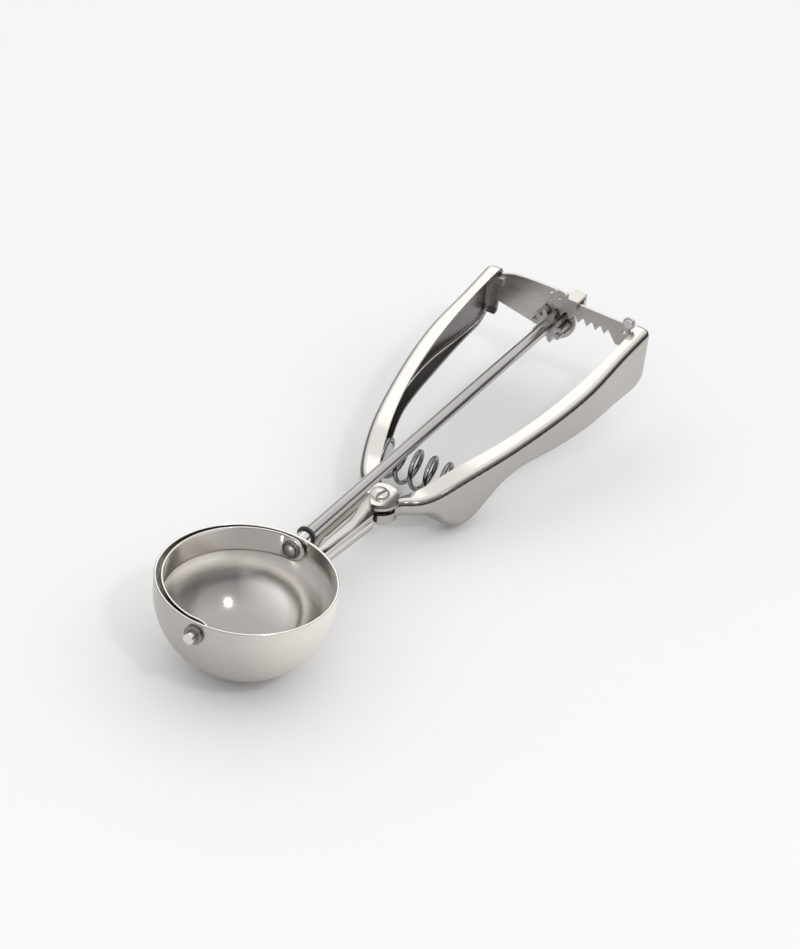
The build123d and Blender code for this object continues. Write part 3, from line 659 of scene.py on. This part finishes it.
turned_piece(
    "rod_tail_washer",
    [
        (tail_washer_face, journal_radius),
        (tail_washer_face, tail_washer_radius),
        (tail_face, tail_washer_radius),
        (tail_face, journal_radius),
    ],
    "rod",
    "rod_end_washer",
    bright,
    ring=True,
)
dark_ring = brushed_steel(
    "blackened_clip",
    stretch=(500, 500, 500),
    rough=(0.30, 0.45),
    depth=0.000005,
    low=(0.05, 0.05, 0.05),
    high=(0.12, 0.118, 0.115),
    drift=300.0,
    metallic=0.6,
)
clip_face = 31.3
clip_radius = 3.1
clip_edge = 0.15
clip_half_opening = 0.8
clip_middle = 2.3
clip_gap = math.asin(clip_half_opening / clip_middle)
clip_angle = np.linspace(-math.pi / 2 + clip_gap, 1.5 * math.pi - clip_gap, 64)
clip_outline = [
    (clip_face, journal_radius),
    (clip_face, clip_radius),
    (rod_shoulder, clip_radius),
    (rod_shoulder, journal_radius),
]
clip_section = soften(clip_outline, clip_edge, closed=True)
clip_ring = np.stack(
    [
        np.broadcast_to(clip_section[None, :, 0], (len(clip_angle), len(clip_section))),
        np.cos(clip_angle)[:, None] * clip_section[None, :, 1],
        bowl_radius + np.sin(clip_angle)[:, None] * clip_section[None, :, 1],
    ],
    axis=-1,
)
clip = grid_piece("clip_ring", capped(clip_ring), dark_ring, "rod")
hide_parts("rod_clip")


# Return spring. One open coil of drawn wire lying across under the rod, its ends held on turned seats
# inside the two handles. It shortens as they close, slightly more than the handle travels, because its
# end doesn't tilt with the seat.
spring_x = 97.2
spring_z = bowl_radius - 13.3
spring_start = -16.9
spring_turns = 5.9
spring_pitch = 5.2
spring_start_angle = 1.94
wire_radius = 0.75
coil_outside = 6.3
coil_radius = coil_outside - wire_radius
turned_so_far = np.linspace(0, 2 * np.pi * spring_turns, 420)
turn_angle = turned_so_far + spring_start_angle
coil_line = np.stack(
    [
        spring_x + coil_radius * np.cos(turn_angle),
        spring_start + spring_pitch * turned_so_far / (2 * np.pi),
        spring_z - coil_radius * np.sin(turn_angle),
    ],
    axis=1,
)
coil_direction = np.gradient(coil_line, axis=0)
coil_direction /= np.linalg.norm(coil_direction, axis=1, keepdims=True)
coil_out = np.stack([np.cos(turn_angle), np.zeros_like(turn_angle), -np.sin(turn_angle)], axis=1)
coil_side = np.cross(coil_direction, coil_out)
wire_angle = np.linspace(0, 2 * np.pi, 20, endpoint=False)
wire_points = coil_line[:, None, :] + wire_radius * (
    np.cos(wire_angle)[None, :, None] * coil_out[:, None, :]
    + np.sin(wire_angle)[None, :, None] * coil_side[:, None, :]
)
wire = brushed_steel(
    "drawn_wire",
    stretch=(900, 900, 900),
    rough=(0.12, 0.28),
    depth=0.000006,
    low=(0.14, 0.136, 0.13),
    high=(0.46, 0.45, 0.435),
    drift=420.0,
)
spring = grid_piece("coil_spring", capped(wire_points), wire, "frame")
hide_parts("return_spring")
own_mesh(spring)


# Handles and stem. The handles are channels pressed from sheet steel, with light and shade painted into
# their colour: brighter where they face up, painted dark along their bends and painted shade inside;
# they are held at the pivot. The stem is two pressed shells welded to the bowl, with painted
# reflections.
plate_flatness = 0.6
smooth_angle = 32
sheared_angle = 50


def pressed_copy(name, node, material, body, edge=0.12, flat=False):
    """Working copy of a frame node, merged into one shell. Its sheared edges are rounded by edge, in
    millimetres; a flat plate's triangles are first joined into whole faces. The angles, in degrees,
    say which faces count as level, as one smooth surface, and as meeting in a sheared edge."""
    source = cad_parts[node]
    piece = bpy.data.objects.new(name, source.data.copy())
    scene.collection.objects.link(piece)
    piece.data.materials.clear()
    piece.data.materials.append(material)
    shell = bmesh.new()
    shell.from_mesh(piece.data)
    bmesh.ops.remove_doubles(shell, verts=shell.verts, dist=merge_distance)
    bmesh.ops.recalc_face_normals(shell, faces=shell.faces)
    if flat:
        bmesh.ops.dissolve_limit(
            shell, angle_limit=math.radians(plate_flatness), verts=shell.verts, edges=shell.edges
        )
    shell.to_mesh(piece.data)
    shell.free()
    piece.data.shade_smooth()
    piece.data.set_sharp_from_angle(angle=math.radians(smooth_angle))
    if edge:
        bevel = piece.modifiers.new("edge", "BEVEL")
        bevel.limit_method = "ANGLE"
        bevel.angle_limit = math.radians(sheared_angle)
        bevel.width = edge * 0.001
        bevel.segments = 2
        bevel.harden_normals = False
    weight = piece.modifiers.new("weighted_normals", "WEIGHTED_NORMAL")
    weight.keep_sharp = True
    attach(piece, body)
    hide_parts(node)
    return piece


def painted_facing_metal(name, stretch, rough, stops, depth=0.0000015):
    """Pressed steel with painted light and shade: its base colour follows how far the surface faces up;
    the stops run from facing down at 0, through upright at 0.5, to facing up at 1."""
    material, tree_nodes, tree_links, shader = new_material(name)
    shader.inputs["Metallic"].default_value = 1.0
    grain_nodes(tree_nodes, tree_links, shader, stretch, rough, depth)
    surface = tree_nodes.new("ShaderNodeNewGeometry")
    painted_light_along(
        tree_nodes,
        tree_links,
        shader,
        surface.outputs["Normal"],
        direction=(0, 0, 1),
        reach=(-1, 1),
        stops=stops,
    )
    return material


# Painted light and shade: light where the sheet faces up, a painted dark reflection band along the
# bends, mid grey on the upright webs.
handle = painted_facing_metal(
    "handle_steel",
    stretch=(60, 900, 900),
    rough=(0.12, 0.20),
    stops=[
        (0, 0.35),
        (0.40, 0.42),
        (0.52, 0.52),
        (0.62, 0.44),
        (0.70, 0.12),
        (0.86, 0.16),
        (0.95, 0.70),
        (1, 0.76),
    ],
)
# Painted shade: a dark base colour for the channels' insides, where shade falls.
channel_painted_shade = painted_facing_metal(
    "channel_painted_shade",
    stretch=(60, 900, 900),
    rough=(0.20, 0.30),
    stops=[(0, 0.25), (0.45, 0.17), (0.60, 0.20), (1, 0.20)],
)
# Painted reflections: bright and dark stripes in the base colour by how far the shells face up.
stem_steel = painted_facing_metal(
    "stem_steel",
    stretch=(60, 900, 900),
    rough=(0.10, 0.18),
    stops=[
        (0, 0.30),
        (0.40, 0.30),
        (0.50, 0.75),
        (0.53, 0.75),
        (0.55, 0.12),
        (0.57, 0.80),
        (0.66, 0.85),
        (0.72, 0.06),
        (0.80, 0.10),
        (0.86, 0.85),
        (1, 0.85),
    ],
)

upright_limit = 0.6
inward_limit = 0.2
ray_start = 0.0001
ray_reach = 0.03


def paint_channel_shade(piece, outward):
    """Gives the painted shade material to a handle's upright faces that look away from its outer side,
    and to the faces that look at another part of the handle, where shade falls in the channel; outward
    is 1 for the handle on the side of larger y and -1 for the other. A ray in metres from each face's
    middle along its normal finds what it looks at."""
    piece.data.materials.append(channel_painted_shade)
    normals = np.zeros(len(piece.data.polygons) * 3)
    piece.data.polygons.foreach_get("normal", normals)
    normals = normals.reshape(-1, 3)
    upright = np.abs(normals[:, 2]) < upright_limit
    shell = bmesh.new()
    shell.from_mesh(piece.data)
    handle_tree = BVHTree.FromBMesh(shell)
    hits = [
        handle_tree.ray_cast(
            face.calc_center_median() + face.normal * ray_start, face.normal, ray_reach
        )[0]
        for face in shell.faces
    ]
    enclosed = np.array([hit is not None for hit in hits])
    shell.free()
    inner = (normals[:, 1] * outward < -inward_limit) & upright | enclosed
    piece.data.polygons.foreach_set("material_index", inner.astype(np.int32))


left_handle = pressed_copy("left_handle", "left_lever", handle, "frame", edge=0.15)
right_handle = pressed_copy(
    "right_handle", "right_lever", handle, "right_lever", edge=0.15
)
paint_channel_shade(left_handle, 1)
paint_channel_shade(right_handle, -1)
pressed_copy("stem_top", "stem_upper", stem_steel, "frame", edge=0.15)
pressed_copy("stem_bottom", "stem_lower", stem_steel, "frame", edge=0.15)


# Pivot and spring seats. A domed rivet goes through the handles' ears and the stem's tongues and is
# closed over a washer below; the seats are turned buttons fixed inside the handles.
pivot_centre = (73.8, 0, 0)
upright_axis = (0, 0, 1)
rivet_top = bowl_radius - 9.0
rivet_foot = bowl_radius - 16.65
shank_radius = 2.0
head_radius = 3.1
dome_height = 1.7
dome_fullness = 0.75
foot_height = 0.9
foot_radius = 2.68
under_washer_radius = 4.1
under_washer_sheet = 0.5
dome = np.linspace(0, np.pi / 2, 14)
dome_reach = head_radius * np.cos(dome) ** dome_fullness
dome_line = np.stack([rivet_top + dome_height * np.sin(dome), dome_reach], axis=1)
dome_line[-1, 1] = 0
rivet_profile = np.vstack(
    [
        [
            (rivet_foot - foot_height, 0),
            (rivet_foot - foot_height, foot_radius),
            (rivet_foot, head_radius),
            (rivet_foot, shank_radius),
            (rivet_top, shank_radius),
        ],
        dome_line,
    ]
)
rivet = grid_piece(
    "pivot_dome", turned(rivet_profile, pivot_centre, upright_axis), bright, "frame"
)
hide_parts("pivot_rivet")
turned_piece(
    "pivot_under_washer",
    [
        (rivet_foot, shank_radius),
        (rivet_foot, under_washer_radius),
        (rivet_foot + under_washer_sheet, under_washer_radius),
        (rivet_foot + under_washer_sheet, shank_radius),
    ],
    "frame",
    "pivot_washer",
    bright,
    centre=pivot_centre,
    axis=upright_axis,
    ring=True,
)
pressed_copy("seat_left", "spring_seat_left", bright, "frame")
pressed_copy("seat_right", "spring_seat_right", bright, "right_lever")


# Gear end, of cut and folded satin steel. The pinion pinned on the rod's end meshes with a flat rack
# that swings with the right handle; a bracket across the left handle carries the rod, and a folded
# guide keeps the rack in mesh.
gear = brushed_steel(
    "cut_gear",
    stretch=(120, 900, 900),
    rough=(0.20, 0.34),
    depth=0.000006,
    low=(0.30, 0.29, 0.28),
    high=(0.58, 0.565, 0.545),
    drift=400.0,
)
# Painted light and shade: the plates' base colour is lighter where they face up.
plate = painted_facing_metal(
    "satin_plate",
    stretch=(900, 60, 900),
    rough=(0.26, 0.38),
    stops=[(0, 0.36), (0.45, 0.54), (0.60, 0.56), (0.80, 0.66), (0.92, 0.85), (1, 0.85)],
)
pressed_copy("pinion_gear", "pinion", gear, "rod", edge=0.10, flat=True)
pressed_copy("pinion_cross_pin", "pinion_pin", gear, "rod", edge=0.0)
pressed_copy("rack", "rack_plate", plate, "right_lever", edge=0.08, flat=True)
pressed_copy("rack_foot_lug", "rack_lug", plate, "right_lever", edge=0.08)
pressed_copy("bracket", "gear_bracket", plate, "frame", edge=0.08, flat=True)
pressed_copy("guide_strap", "rack_guide", plate, "frame", edge=0.10, flat=True)
pressed_copy("rack_foot_rivet", "rack_rivet", bright, "right_lever", edge=0.10)
pressed_copy("stop_stud", "stop_rivet", bright, "right_lever", edge=0.10)
pressed_copy("guide_stud", "guide_rivet", bright, "frame", edge=0.10)
